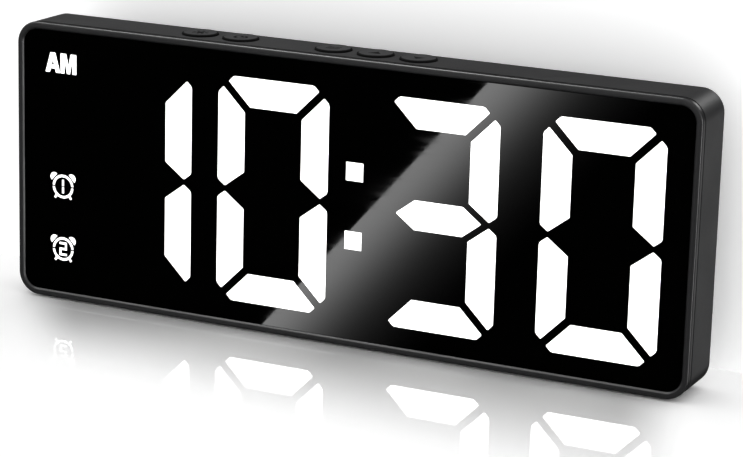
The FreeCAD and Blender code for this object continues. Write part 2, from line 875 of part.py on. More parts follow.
def battery_contacts():
    """Spring steel plates at both ends of the bay; the linked ones join two cells."""
    heights = cell_heights()
    half = contact_width / 2
    groups = {-1: [(0, 0), (1, 2)], 1: [(0, 1), (2, 2)]}
    plates = []
    for side, spans in groups.items():
        x0, x1 = sorted((side * bay_half_length, side * (bay_half_length - contact_thickness)))
        for first, last in spans:
            plates.append(box(x0, x1, cell_y - half, cell_y + half,
                              heights[first] - half, heights[last] + half))
    return Part.makeCompound(plates)


# ---- housing ----------------------------------------------------------------------------------

def battery_box_slab(inset, y0, y1):
    return rounded_slab(-box_half_width + inset, box_half_width - inset,
                        case_bottom + inset, box_top - inset,
                        max(box_corner_radius - inset, 0.6), y0, y1)


def door_slot(clearance, y0, y1, tongue):
    """The room that the sliding door takes, open at the right side of the box."""
    half = bay_half_height - 0.6 + (door_tongue if tongue else 0) + clearance
    return box(-bay_half_length - clearance, box_half_width + (1 if clearance else 0), y0, y1,
               bay_middle - half, bay_middle + half)


def foot_places():
    """Centre x, centre y, half length and half depth of each foot pad."""
    front_y = front + body_depth * 0.5
    rear_y = body_back + box_depth * 0.5
    front_x, rear_x = half_width - foot_inset, box_half_width - 7.5
    return [(side * x, y, half_x, half_y)
            for x, y, half_x, half_y in ((front_x, front_y, 7.0, 2.5), (rear_x, rear_y, 3.0, 3.0))
            for side in (-1, 1)]


def foot_solids(grow, z0, z1):
    pads = []
    for x, y, half_x, half_y in foot_places():
        pad = box(x - half_x - grow, x + half_x + grow, y - half_y - grow, y + half_y + grow, z0, z1)
        upright = [e for e in pad.Edges if abs(e.tangentAt(e.FirstParameter).z) > 0.9]
        pads.append(pad.makeFillet(half_y - 0.1 + grow, upright))
    return pads


def rubber_feet():
    return Part.makeCompound(foot_solids(0, 0, foot_proud + foot_bed))


def rear_housing():
    """One moulding: roof, sides, floor and back of the clock, with the battery box."""
    shell = case_slab(0, housing_front, body_back)
    shell = shell.makeFillet(back_edge_round, outer_edges_at(shell, body_back))
    bump = battery_box_slab(0, body_back - 2 * back_edge_round, box_back)
    bump = bump.makeFillet(back_edge_round, outer_edges_at(bump, box_back))
    shell = fused([shell, bump])
    hollow = case_slab(wall, housing_front - 1, back_inside)
    rebate = case_slab(lip_thickness, housing_front - 1, ledge_back + bezel_fit)
    bay = box(-bay_half_length, bay_half_length, bay_front, door_front + door_fit,
              bay_middle - bay_half_height, bay_middle + bay_half_height)
    slot = fused([
        door_slot(door_fit, door_front - door_fit, door_front + door_thickness / 2 + door_fit, True),
        door_slot(door_fit, door_front - door_fit, box_back + 1, False),
    ])
    shell = shell.cut([hollow, rebate, bay, slot])
    buttons = [rod_z(x, button_y, button_radius + button_fit, roof - 1, case_top + 1) for x in button_places]
    screws = []
    for s in (-1, 1):
        for z in screw_heights:
            screws.append(rod_y(s * screw_x, z, screw_radius + 0.2, back_inside - 1, body_back + 1))
            screws.append(rod_y(s * screw_x, z, screw_head_radius + 0.25,
                                body_back - screw_head_height - 0.2, body_back + 1))
    sound = [rod_y(buzzer_x, buzzer_z, sound_hole_radius, back_inside - 1, body_back + 1)]
    for i in range(6):
        angle = math.radians(60 * i)
        x = buzzer_x + sound_hole_ring * math.cos(angle)
        z = buzzer_z + sound_hole_ring * math.sin(angle)
        sound.append(rod_y(x, z, sound_hole_radius, back_inside - 1, body_back + 1))
    mouth = socket_slab(0.25, back_inside - 1, body_back + 1)
    beds = foot_solids(0.1, case_bottom - 1, case_bottom + foot_bed)
    lead_holes = [rod_y(*lead_hole(s), lead_radius + lead_clearance, back_inside - 1, bay_front + 1)
                  for s in (-1, 1)]
    shell = shell.cut(buttons + screws + sound + [mouth] + beds + lead_holes)
    posts = [rod_y(x, z, clamp_radius, board_back, back_inside + 0.2) for x, z in clamp_places()]
    return fused([shell] + posts)


def clamp_places():
    """Posts on the back wall that press the board and the block against the ledge."""
    middle = case_bottom + case_height / 2
    return [(s * x, z) for x, z in ((half_width - 10, middle), (44.0, case_top - 12)) for s in (-1, 1)]


def battery_door():
    """Sliding lid with two long tongues and finger grooves."""
    inner = door_slot(0, door_front, door_front + door_thickness / 2, True)
    outer = door_slot(0, door_front, box_back, False)
    lid = fused([inner, outer])
    grooves = []
    for i in range(door_grip_count):
        x = box_half_width - door_grip_start - 2 * door_grip_width * i
        grooves.append(box(x - door_grip_width / 2, x + door_grip_width / 2,
                           box_back - door_grip_depth, box_back + 1,
                           bay_middle - door_grip_length / 2, bay_middle + door_grip_length / 2))
    return lid.cut(grooves)


def build():
    os.makedirs("parts", exist_ok=True)
    save("front_bezel", front_bezel())
    save("front_panel", front_panel())
    save("panel_tape", panel_tape())
    save("segments_lit", Part.makeCompound(segment_prisms(panel_front, light_back, True)))
    save("segments_off", Part.makeCompound(segment_prisms(panel_front, light_back, False)))
    save("colon_dots", Part.makeCompound(colon_prisms(panel_front, light_back)))
    save("am_sign", Part.makeCompound(am_prisms(panel_front, panel_front + sign_depth)))
    save("alarm_signs", Part.makeCompound(sign_prisms(panel_front, panel_front + sign_depth)))
    save("light_block", light_block())
    save("led_chips", led_chips())
    save("main_board", main_board())
    save("module_screws", module_screws())
    save("clock_chip", clock_chip())
    save("chip_legs", chip_legs())
    save("small_resistors", small_resistors())
    save("crystal", crystal())
    save("smoothing_capacitor", smoothing_capacitor())
    save("buzzer", buzzer())
    save("usb_socket", usb_socket())
    save("usb_tongue", usb_tongue())
    save("battery_plug", battery_plug())
    save("battery_lead_red", battery_lead(-1))
    save("battery_lead_black", battery_lead(1))
    save("switch_bodies", switch_bodies())
    kinds = ("light", "alarm", "set", "up", "down")
    for kind, x in zip(kinds, button_places):
        save(f"button_{kind}", button_cap(x, kind))
        save(f"plunger_{kind}", switch_plunger(x))
    for index in range(cell_count):
        save(f"cell_{index + 1}", cell(index))
    save("battery_springs", battery_springs())
    save("battery_contacts", battery_contacts())
    save("rear_housing", rear_housing())
    save("battery_door", battery_door())
    save("case_screws", case_screws())
    save("rubber_feet", rubber_feet())


build()
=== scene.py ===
# The looks of a black desk alarm clock: lit digits in a gloss panel, five buttons on the roof,
# and a battery box with a sliding door behind. Metres, X to the right, Y to the back, Z up.
import math

import bmesh
import bpy
import numpy as np
from mathutils import Matrix, Vector


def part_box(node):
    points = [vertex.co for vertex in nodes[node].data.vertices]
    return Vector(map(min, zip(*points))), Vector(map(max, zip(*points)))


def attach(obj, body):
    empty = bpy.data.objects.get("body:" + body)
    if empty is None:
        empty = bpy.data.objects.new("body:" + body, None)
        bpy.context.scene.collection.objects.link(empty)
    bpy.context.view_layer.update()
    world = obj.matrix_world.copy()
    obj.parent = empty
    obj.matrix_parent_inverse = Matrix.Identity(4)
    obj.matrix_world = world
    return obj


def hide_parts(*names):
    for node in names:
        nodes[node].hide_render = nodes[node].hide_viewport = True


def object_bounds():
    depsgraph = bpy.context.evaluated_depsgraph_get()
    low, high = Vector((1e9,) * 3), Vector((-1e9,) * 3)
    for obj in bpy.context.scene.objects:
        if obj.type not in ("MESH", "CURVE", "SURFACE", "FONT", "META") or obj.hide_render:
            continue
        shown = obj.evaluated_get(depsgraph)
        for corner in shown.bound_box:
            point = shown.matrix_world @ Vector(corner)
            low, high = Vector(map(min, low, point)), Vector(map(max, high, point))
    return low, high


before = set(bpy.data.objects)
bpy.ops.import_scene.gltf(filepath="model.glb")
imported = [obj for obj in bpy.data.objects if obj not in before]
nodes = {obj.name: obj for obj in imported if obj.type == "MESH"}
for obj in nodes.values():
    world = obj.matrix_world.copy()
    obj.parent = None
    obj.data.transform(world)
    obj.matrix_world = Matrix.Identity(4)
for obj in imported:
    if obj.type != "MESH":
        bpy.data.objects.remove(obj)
cadLow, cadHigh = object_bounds()
mm = 0.001
print("frame loaded:", len(nodes), "nodes")


# small tools for meshes

def gridFaces(rows, columns, joinRows=False, joinColumns=False):
    # the four corners of each cell in a grid of points; a joined side wraps round to the first one
    i, j = np.meshgrid(
        np.arange(rows if joinRows else rows - 1),
        np.arange(columns if joinColumns else columns - 1),
        indexing="ij",
    )
    nextI = (i + 1) % rows
    nextJ = (j + 1) % columns
    corners = [i * columns + j, nextI * columns + j, nextI * columns + nextJ, i * columns + nextJ]
    return np.stack(corners, -1).reshape(-1, 4)


def shell(grid, joinRows=False, joinColumns=False):
    # a grid of points as a closed skin, turned inside out if the space that it holds comes out negative
    rows, columns = grid.shape[:2]
    points = grid.reshape(-1, 3)
    return outwardShell(points, gridFaces(rows, columns, joinRows, joinColumns))


def outwardShell(points, faces):
    a, b, c, d = (points[faces[:, k]] for k in range(4))
    held = np.sum(a * (np.cross(b, c) + np.cross(c, d)))
    return points, faces if held > 0 else faces[:, ::-1]


def makePiece(name, shells, material, body, sharpAngle=35, marks=None):
    # several closed skins become one mesh; merging near points closes its seams and poles
    starts = np.cumsum([0] + [len(points) for points, faces in shells])
    points = np.concatenate([points for points, faces in shells])
    faces = np.concatenate([faces + start for (_, faces), start in zip(shells, starts)])
    mesh = bpy.data.meshes.new(name)
    mesh.vertices.add(len(points))
    mesh.vertices.foreach_set("co", points.astype(np.float32).ravel())
    mesh.loops.add(faces.size)
    mesh.loops.foreach_set("vertex_index", faces.astype(np.int32).ravel())
    mesh.polygons.add(len(faces))
    mesh.polygons.foreach_set("loop_start", np.arange(0, faces.size, 4, dtype=np.int32))
    mesh.update(calc_edges=True)
    for markName, values in (marks or {}).items():
        attribute = mesh.attributes.new(markName, "FLOAT", "POINT")
        attribute.data.foreach_set("value", values.astype(np.float32).ravel())
    return finishPiece(name, mesh, material, body, sharpAngle)


def finishPiece(name, mesh, material, body, sharpAngle):
    work = bmesh.new()
    work.from_mesh(mesh)
    bmesh.ops.remove_doubles(work, verts=work.verts, dist=2e-7)
    bmesh.ops.dissolve_degenerate(work, edges=work.edges, dist=1e-8)
    work.to_mesh(mesh)
    work.free()
    mesh.polygons.foreach_set("use_smooth", np.ones(len(mesh.polygons), bool))
    mesh.set_sharp_from_angle(angle=math.radians(sharpAngle))
    mesh.materials.clear()
    mesh.materials.append(material)
    piece = bpy.data.objects.new(name, mesh)
    bpy.context.scene.collection.objects.link(piece)
    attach(piece, body)
    return piece


def smoothCopy(name, node, material, body, sharpAngle=28):
    # a merged copy of a frame node with soft shading over its round faces, standing for that node
    mesh = nodes[node].data.copy()
    mesh.name = name
    if "custom_normal" in mesh.attributes:
        mesh.attributes.remove(mesh.attributes["custom_normal"])
    piece = finishPiece(name, mesh, material, body, sharpAngle)
    weighted = piece.modifiers.new("Evened normals", "WEIGHTED_NORMAL")
    weighted.keep_sharp = True
    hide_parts(node)
    return piece


def roundCorners(corners, steps=5, closed=False):
    # an outline of (x, y, radius) corners, each replaced by an arc that touches both its sides:
    # the arc is swung between the two radii by the usual blend of sines
    result = []
    for k, (x, y, radius) in enumerate(corners):
        here = np.array([x, y], float)
        if radius == 0 or (not closed and k in (0, len(corners) - 1)):
            result.append(here)
            continue
        into = here - np.array(corners[k - 1][:2])
        out = np.array(corners[(k + 1) % len(corners)][:2]) - here
        into /= np.linalg.norm(into)
        out /= np.linalg.norm(out)
        turn = math.acos(np.clip(into @ out, -1, 1))
        inwards = (out - into) / np.linalg.norm(out - into)
        middle = here + inwards * radius / math.cos(turn / 2)
        start = here - into * radius * math.tan(turn / 2) - middle
        end = here + out * radius * math.tan(turn / 2) - middle
        share = np.linspace(0, 1, steps + 1)[:, None]
        arc = (np.sin((1 - share) * turn) * start + np.sin(share * turn) * end) / math.sin(turn)
        result.extend(middle + arc)
    return np.array(result)


def carriedRound(profile, low, high, radius, steps=12, across=1):
    # (inset, place) pairs carried round a rectangle with round corners: each corner's arc has its
    # middle fixed, and its radius is the outline's less the inset. across is the axis of the place.
    turns = (np.linspace(0, math.pi / 2, steps + 1)[None, :] + np.arange(4)[:, None] * math.pi / 2).ravel()
    outwards = np.stack([np.cos(turns), np.sin(turns)], 1)
    signs = np.sign(np.repeat([[1, 1], [-1, 1], [-1, -1], [1, -1]], steps + 1, axis=0))
    low, high = np.array(low), np.array(high)
    middles = (low + high) / 2 + signs * ((high - low) / 2 - radius)
    flat = middles[:, None, :] + (radius - profile[None, :, 0, None]) * outwards[:, None, :]
    place = np.broadcast_to(profile[None, :, 1], flat.shape[:2])
    order = {1: (0, 2, 1), 2: (0, 1, 2)}[across]
    return np.stack([flat[..., 0], flat[..., 1], place], -1)[..., list(order)]


def turned(profile, centre, axis, count=48):
    # (radius, place along the axis) pairs carried round an axis through the centre
    angle = np.arange(count) * 2 * math.pi / count
    ring = np.stack([np.cos(angle), np.sin(angle)], 1)
    sides = profile[None, :, 0, None] * ring[:, None, :]
    along = np.broadcast_to(profile[None, :, 1], sides.shape[:2])
    columns = [sides[..., 0], sides[..., 1]]
    columns.insert(axis, along)
    return np.stack(columns, -1) + np.array(centre)


def ringRound(grid):
    # the border of a grid of points, once round
    return np.concatenate([grid[0, :-1], grid[:-1, -1], grid[-1, :0:-1], grid[:0:-1, 0]])


def slabShell(upper, lower):
    # two faces over the same outline and the wall between their borders
    rows, columns = upper.shape[:2]
    wall = np.stack([ringRound(upper), ringRound(lower)])
    points = [upper.reshape(-1, 3), lower.reshape(-1, 3), wall.reshape(-1, 3)]
    count = rows * columns
    faces = [gridFaces(rows, columns), gridFaces(rows, columns)[:, ::-1] + count]
    faces.append(gridFaces(2, wall.shape[1], joinColumns=True) + 2 * count)
    return outwardShell(np.concatenate(points), np.concatenate(faces))


def closedPlate(grid, axis):
    # a plate across one axis: its first and last rings are drawn in to the middle, which closes
    # its two flat faces
    middle = grid.mean((0, 1))
    ends = []
    for column in (0, -1):
        end = np.broadcast_to(middle, (grid.shape[0], 1, 3)).copy()
        end[..., axis] = grid[:, column, axis][:, None]
        ends.append(end)
    return shell(np.concatenate([ends[0], grid, ends[1]], 1), joinRows=True)


# small tools for materials

smooth = {"interpolation_type": "SMOOTHSTEP"}
blend = {"data_type": "RGBA"}


def linearColour(text):
    # an sRGB hex value as linear red, green and blue with full alpha
    channels = [int(text[i:i + 2], 16) / 255 for i in (1, 3, 5)]
    return [c / 12.92 if c <= 0.04045 else ((c + 0.055) / 1.055) ** 2.4 for c in channels] + [1.0]


def addNode(tree, kind, inputs=(), **settings):
    # each input, by name or by place, is another node's socket, a hex colour or a constant.
    # What comes back is the new node's outputs.
    node = tree.nodes.new("ShaderNode" + kind)
    for name, value in settings.items():
        setattr(node, name, value)
    for name, value in inputs.items() if isinstance(inputs, dict) else enumerate(inputs):
        if isinstance(value, bpy.types.NodeSocket):
            tree.links.new(value, node.inputs[name])
        else:
            node.inputs[name].default_value = linearColour(value) if isinstance(value, str) else value
    return node.outputs


def newMaterial(name):
    # an empty material, its node tree and the object's own coordinates
    material = bpy.data.materials.new(name)
    material.use_nodes = True
    tree = material.node_tree
    tree.nodes.clear()
    return material, tree, addNode(tree, "TexCoord")["Object"]


def finishMaterial(material, tree, look):
    shader = addNode(tree, "BsdfPrincipled", look)[0]
    addNode(tree, "OutputMaterial", (shader,))
    return material


# materials. A noise texture of scale 1 / (size * mm) has spots about that many millimetres across.

mouldings = {
    # colour, paler colour of rubbed grain, roughness, grain in mm and its depth, gloss level
    "case": ("#282829", "#2f2f30", 0.46, 0.34, 0.010, 0.24),
    # the rim is the case's plastic in a darker copy: painted shade for the bezel's front faces
    "rim": ("#1f1f20", "#252526", 0.34, 0.30, 0.002, 0.30),
    # the buttons are the case's plastic in a paler copy with almost no gloss: painted sheen in place of the
    # grazing reflection
    "button": ("#3f3f40", "#464647", 0.50, 0.26, 0.006, 0.05),
    "door": ("#2b2b2c", "#323233", 0.48, 0.34, 0.012, 0.24),
}


def mouldedAbs(name, kind, inkAndWallShade=False):
    # black ABS, injection moulded in a spark-eroded tool: a fine even grain, a dull satin light,
    # and slightly duller patches where the melt cooled unevenly. The real grain is near 0.1 mm and
    # is drawn about three times as coarse so that it shows. On the buttons a black ink fills the
    # sunk sign, and the same near-black is painted round the side wall as painted shade.
    base, rubbed, roughness, grainSize, grainDepth, gloss = mouldings[kind]
    material, tree, place = newMaterial(name)
    grainInputs = {"Vector": place, "Scale": 1 / (grainSize * mm), "Detail": 2, "Roughness": 0.55}
    grain = addNode(tree, "TexNoise", grainInputs)["Fac"]
    patchInputs = {"Vector": place, "Scale": 1 / (18 * mm), "Detail": 3, "Roughness": 0.55}
    patches = addNode(tree, "TexNoise", patchInputs)["Fac"]
    raised = addNode(tree, "MapRange", (grain, 0.35, 0.75, 0, 1), **smooth)[0]
    colour = addNode(tree, "Mix", {0: raised, 6: base, 7: rubbed}, **blend)[2]
    broad = addNode(tree, "MapRange", (patches, 0.3, 0.7, roughness - 0.03, roughness + 0.03), **smooth)[0]
    fine = addNode(tree, "MapRange", (grain, 0.3, 0.7, -0.03, 0.03), **smooth)[0]
    rough = addNode(tree, "Math", (broad, fine), operation="ADD")[0]
    if inkAndWallShade:
        # the mark is black ink in the sunk sign, and painted shade on the button's side wall
        inkAndShade = addNode(tree, "Attribute", attribute_name="sign")["Fac"]
        colour = addNode(tree, "Mix", {0: inkAndShade, 6: colour, 7: "#040404"}, **blend)[2]
        rough = addNode(tree, "Math", (inkAndShade, 0.4, rough), operation="MULTIPLY_ADD")[0]
    bump = addNode(tree, "Bump", {"Height": grain, "Strength": 1, "Distance": grainDepth * mm})[0]
    return finishMaterial(material, tree, {
        "Base Color": colour, "Roughness": rough, "Normal": bump,
        "Specular IOR Level": gloss, "IOR": 1.54,
    })


def glossAcrylic(name):
    # cast acrylic tinted black and polished: a deep black mirror with faint wipe marks and the very
    # slight waviness of a moulded sheet
    material, tree, place = newMaterial(name)
    slanted = {"Vector": place, "Rotation": (0, math.radians(24), 0), "Scale": (1, 1, 9)}
    wipes = addNode(tree, "Mapping", slanted)[0]
    streakInputs = {"Vector": wipes, "Scale": 1 / (22 * mm), "Detail": 4, "Roughness": 0.55}
    streaks = addNode(tree, "TexNoise", streakInputs)["Fac"]
    dustInputs = {"Vector": place, "Scale": 1 / (0.8 * mm), "Detail": 1, "Roughness": 0.55}
    dust = addNode(tree, "TexNoise", dustInputs)["Fac"]
    specks = addNode(tree, "MapRange", (dust, 0.74, 0.82, 0, 1), **smooth)[0]
    return finishMaterial(material, tree, {
        "Base Color": addNode(tree, "Mix", {0: specks, 6: "#010101", 7: "#0b0b0b"}, **blend)[2],
        "Roughness": addNode(tree, "MapRange", (streaks, 0.35, 0.8, 0.012, 0.045), **smooth)[0],
        "IOR": 1.49, "Specular IOR Level": 0.5,
    })


def litResin(name, strength):
    # milky polycarbonate lit from behind: flat white to the eye, a touch less bright between lamps
    material, tree, place = newMaterial(name)
    lampInputs = {"Vector": place, "Scale": 1 / (7 * mm), "Detail": 1, "Roughness": 0.55}
    lamps = addNode(tree, "TexNoise", lampInputs)["Fac"]
    hazeInputs = {"Vector": place, "Scale": 1 / (0.5 * mm), "Detail": 2, "Roughness": 0.55}
    haze = addNode(tree, "TexNoise", hazeInputs)["Fac"]
    return finishMaterial(material, tree, {
        "Base Color": addNode(tree, "Mix", {0: haze, 6: "#efefec", 7: "#fafaf8"}, **blend)[2],
        "Emission Color": addNode(tree, "MapRange", (lamps, 0.3, 0.7, 0.94 / 1.06, 1), **smooth)[0],
        "Emission Strength": strength * 1.06,
        "Roughness": 0.3, "IOR": 1.58,
    })


def simplePlastic(name, base, second, roughness, grainSize, grainDepth, ior=1.5, gloss=0.5):
    # a moulded plastic or rubber with a fine cloudy grain
    material, tree, place = newMaterial(name)
    grainInputs = {"Vector": place, "Scale": 1 / (grainSize * mm), "Detail": 3, "Roughness": 0.55}
    grain = addNode(tree, "TexNoise", grainInputs)["Fac"]
    share = addNode(tree, "MapRange", (grain, 0.3, 0.7, 0, 1), **smooth)[0]
    rough = addNode(tree, "MapRange", (grain, 0.25, 0.75, roughness - 0.05, roughness + 0.05), **smooth)[0]
    return finishMaterial(material, tree, {
        "Base Color": addNode(tree, "Mix", {0: share, 6: base, 7: second}, **blend)[2],
        "Roughness": rough,
        "Normal": addNode(tree, "Bump", {"Height": grain, "Strength": 1, "Distance": grainDepth * mm})[0],
        "IOR": ior, "Specular IOR Level": gloss,
    })


def sheetMetal(name, base, second, roughness, brushing, axis):
    # rolled or plated metal: fine lines along one axis and duller patches between them
    material, tree, place = newMaterial(name)
    stretch = [1.0, 1.0, 1.0]
    stretch[axis] = 0.06
    lines = addNode(tree, "Mapping", {"Vector": place, "Scale": stretch})[0]
    brushInputs = {"Vector": lines, "Scale": 1 / (brushing * mm), "Detail": 3, "Roughness": 0.55}
    brush = addNode(tree, "TexNoise", brushInputs)["Fac"]
    patchInputs = {"Vector": place, "Scale": 1 / (2.5 * mm), "Detail": 3, "Roughness": 0.55}
    patches = addNode(tree, "TexNoise", patchInputs)["Fac"]
    share = addNode(tree, "MapRange", (patches, 0.35, 0.7, 0, 1), **smooth)[0]
    rough = addNode(tree, "MapRange", (brush, 0.3, 0.7, roughness - 0.07, roughness + 0.1), **smooth)[0]
    return finishMaterial(material, tree, {
        "Base Color": addNode(tree, "Mix", {0: share, 6: base, 7: second}, **blend)[2],
        "Roughness": rough,
        "Normal": addNode(tree, "Bump", {"Height": brush, "Strength": 1, "Distance": 0.004 * mm})[0],
        "Metallic": 1,
    })


def solderMask(name):
    # glass-fibre board under green solder mask: paler copper tracks under it and a faint weave
    material, tree, place = newMaterial(name)
    flat = addNode(tree, "Mapping", {"Vector": place, "Rotation": (math.radians(90), 0, 0)})[0]
    trackInputs = {
        "Vector": flat, "Scale": 1 / mm, "Mortar Size": 0.35, "Mortar Smooth": 0.1,
        "Brick Width": 9.0, "Row Height": 2.1,
    }
    tracks = addNode(tree, "TexBrick", trackInputs, offset=0.37)["Fac"]
    weaveInputs = {"Vector": place, "Scale": 1 / (0.6 * mm), "Detail": 2, "Roughness": 0.55}
    weave = addNode(tree, "TexNoise", weaveInputs)["Fac"]
    share = addNode(tree, "MapRange", (weave, 0.3, 0.7, 0, 1), **smooth)[0]
    mask = addNode(tree, "Mix", {0: share, 6: "#0d4a28", 7: "#11552f"}, **blend)[2]
    return finishMaterial(material, tree, {
        "Base Color": addNode(tree, "Mix", {0: tracks, 6: mask, 7: "#2a7a46"}, **blend)[2],
        "Normal": addNode(tree, "Bump", {"Height": tracks, "Strength": 1, "Distance": 0.035 * mm})[0],
        "Roughness": 0.32, "IOR": 1.55,
    })


def cellWrap(name):
    # shrunk PVC sleeve over a steel can, printed in two plain colours; both ends are bare steel
    material, tree, place = newMaterial(name)
    tint = addNode(tree, "Attribute", attribute_name="band")["Fac"]
    copper = addNode(tree, "MapRange", (tint, 0.9, 1.1, 0, 1), **smooth)[0]
    bare = addNode(tree, "MapRange", (tint, 1.9, 2.1, 0, 1), **smooth)[0]
    scuffInputs = {"Vector": place, "Scale": 1 / (1.6 * mm), "Detail": 4, "Roughness": 0.55}
    scuffs = addNode(tree, "TexNoise", scuffInputs)["Fac"]
    worn = addNode(tree, "MapRange", (scuffs, 0.5, 0.8, 0, 1), **smooth)[0]
    dark = addNode(tree, "Mix", {0: worn, 6: "#16181b", 7: "#26292d"}, **blend)[2]
    printed = addNode(tree, "Mix", {0: copper, 6: dark, 7: "#b5703a"}, **blend)[2]
    sheen = addNode(tree, "MapRange", (copper, 0, 1, 0, 0.7), **smooth)[0]
    return finishMaterial(material, tree, {
        "Base Color": addNode(tree, "Mix", {0: bare, 6: printed, 7: "#c9c9c6"}, **blend)[2],
        "Metallic": addNode(tree, "Math", (bare, sheen), operation="MAXIMUM")[0],
        "Roughness": addNode(tree, "MapRange", (scuffs, 0.3, 0.8, 0.22, 0.4), **smooth)[0],
        "IOR": 1.5,
    })


caseAbs = mouldedAbs("Case_ABS_spark_eroded", "case")
rimAbs = mouldedAbs("Bezel_ABS_semi_gloss", "rim")
doorAbs = mouldedAbs("Door_ABS_spark_eroded", "door")
capAbs = mouldedAbs("Button_ABS_satin_moulded", "button", inkAndWallShade=True)
panelAcrylic = glossAcrylic("Panel_acrylic_polished_black")
digitResin = litResin("Digit_polycarbonate_lit", 1.55)
signFilm = litResin("Sign_film_lit", 1.3)
tapeFoam = simplePlastic("Tape_foam_black", "#0c0c0c", "#141414", 0.85, 0.3, 0.03)
reflectorAbs = simplePlastic("Reflector_ABS_white", "#e9e9e4", "#f2f2ee", 0.5, 0.8, 0.01)
lampResin = simplePlastic("Lamp_silicone_phosphor", "#e8d46a", "#f0e394", 0.35, 0.2, 0.01, 1.41)
boardMask = solderMask("Board_glass_epoxy_green_mask")
chipEpoxy = simplePlastic("Chip_epoxy_moulded", "#151516", "#1e1e20", 0.55, 0.15, 0.008)
switchNylon = simplePlastic("Switch_nylon_black", "#121213", "#1a1a1b", 0.45, 0.3, 0.006)
plungerNylon = simplePlastic("Plunger_nylon_black", "#171718", "#202021", 0.4, 0.3, 0.005)
plugNylon = simplePlastic("Plug_nylon_natural", "#e6e1d2", "#efeadc", 0.5, 0.5, 0.008, 1.53)
redPvc = simplePlastic("Lead_PVC_red", "#a31a16", "#b2221c", 0.42, 0.6, 0.006)
blackPvc = simplePlastic("Lead_PVC_black", "#111112", "#19191a", 0.42, 0.6, 0.006)
footRubber = simplePlastic("Foot_rubber_moulded", "#191919", "#222222", 0.8, 0.25, 0.015, 1.5, 0.3)
buzzerPbt = simplePlastic("Buzzer_PBT_black", "#18181a", "#212124", 0.5, 0.3, 0.008)
sleevePvc = simplePlastic("Capacitor_sleeve_PVC", "#14213a", "#1b2a48", 0.3, 0.9, 0.004)
resistorGlaze = simplePlastic("Resistor_glaze_black", "#17171a", "#3a3a3c", 0.25, 0.4, 0.003)
screwZinc = sheetMetal("Screw_steel_black_zinc", "#3a3a3c", "#4a4a4c", 0.38, 0.12, 1)
tinPlate = sheetMetal("Shell_steel_tin_plated", "#c8c8c5", "#b4b4b0", 0.26, 0.14, 1)
springNickel = sheetMetal("Contact_steel_nickel_plated", "#cfccc4", "#bcb8ae", 0.22, 0.12, 2)
cellSleeve = cellWrap("Cell_sleeve_shrunk_printed")
print("materials made:", len(bpy.data.materials))


# camera

cameraView = {
    "yaw": 25.5,
    "pitch": 14.5,
    "roll": 1.55,
    "lens": 130.3,
    "distance": 583,
    "target": (1.8, 0.5, 23.4),
}


def makeCamera(view):
    yaw, pitch, roll = (math.radians(view[k]) for k in ("yaw", "pitch", "roll"))
    ahead = Vector((-math.sin(yaw) * math.cos(pitch), math.cos(yaw) * math.cos(pitch), -math.sin(pitch)))
    right = Vector((math.cos(yaw), math.sin(yaw), 0))
    up = right.cross(ahead)
    rolledRight = right * math.cos(roll) + up * math.sin(roll)
    rolledUp = up * math.cos(roll) - right * math.sin(roll)
    data = bpy.data.cameras.new("Camera")
    data.lens = view["lens"]
    data.sensor_width = 36
    data.clip_start, data.clip_end = 0.01, 50
    camera = bpy.data.objects.new("Camera", data)
    bpy.context.scene.collection.objects.link(camera)
    place = Vector(view["target"]) * mm - ahead * view["distance"] * mm
    turn = Matrix((rolledRight, rolledUp, -ahead)).transposed().to_4x4()
    camera.matrix_world = Matrix.Translation(place) @ turn
    bpy.context.scene.camera = camera
    return place


cameraPlace = makeCamera(cameraView)
bpy.context.scene.view_settings.view_transform = "Standard"


# bezel: one closed section carried round the case outline

bezelSizes = {
    "corner": 5.0,
    "rim": 1.5,
    "round": 0.4,
    "chamfer": 0.35,
    "rimDepth": 1.4,
    "groove": 0.5,
    "tuck": 1.0,
    "ledge": 3.8,
    "ledgeThick": 0.9,
    "post": 2.6,
    "pilot": 0.95,
    "screwHead": 1.8,
}


def makeBezel():
    sizes = bezelSizes
    low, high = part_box("front_bezel")
    housingLow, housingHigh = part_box("rear_housing")
    tapeLow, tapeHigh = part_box("panel_tape")
    front = low.y / mm
    shelf = tapeHigh.y / mm - front
    seam = housingLow.y / mm - front
    ledgeBack = seam + sizes["ledgeThick"]
    section = roundCorners(
        [
            (0, 0, sizes["round"]),
            (sizes["rim"] - sizes["chamfer"], 0, 0.12),
            (sizes["rim"], sizes["chamfer"], 0.12),
            (sizes["rim"], shelf, 0),
            (sizes["ledge"], shelf, 0.1),
            (sizes["ledge"], ledgeBack, 0.1),
            (sizes["tuck"], ledgeBack, 0),
            (sizes["tuck"], seam, 0),
            (sizes["groove"], seam, 0),
            (sizes["groove"], sizes["rimDepth"], 0),
            (0, sizes["rimDepth"], 0.08),
        ],
        closed=True,
    )
    section[:, 1] += front
    ring = carriedRound(section * mm, (low.x, low.z), (high.x, high.z), sizes["corner"] * mm, steps=16)
    shells = [shell(ring, joinRows=True, joinColumns=True)]
    screwLow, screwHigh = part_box("case_screws")
    reach = sizes["screwHead"] * mm
    for x in (screwLow.x + reach, screwHigh.x - reach):
        for z in (screwLow.z + reach, screwHigh.z - reach):
            post = roundCorners([
                (sizes["pilot"], ledgeBack, 0), (sizes["post"], ledgeBack, 0),
                (sizes["post"], high.y / mm - front, 0.2), (sizes["pilot"], high.y / mm - front, 0.1),
            ], closed=True)
            post[:, 1] += front
            grid = turned(post * mm, (x, 0, z), 1, 32)
            shells.append(shell(grid, joinRows=True, joinColumns=True))
    bezel = makePiece("bezelFrame", shells, rimAbs, "case")
    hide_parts("front_bezel")


makeBezel()


# housing: the frame's own moulding with evened shading

smoothCopy("housingShell", "rear_housing", caseAbs, "case")


# buttons: a shallow dished cap whose sign is sunk into its top, on a flange and a stem

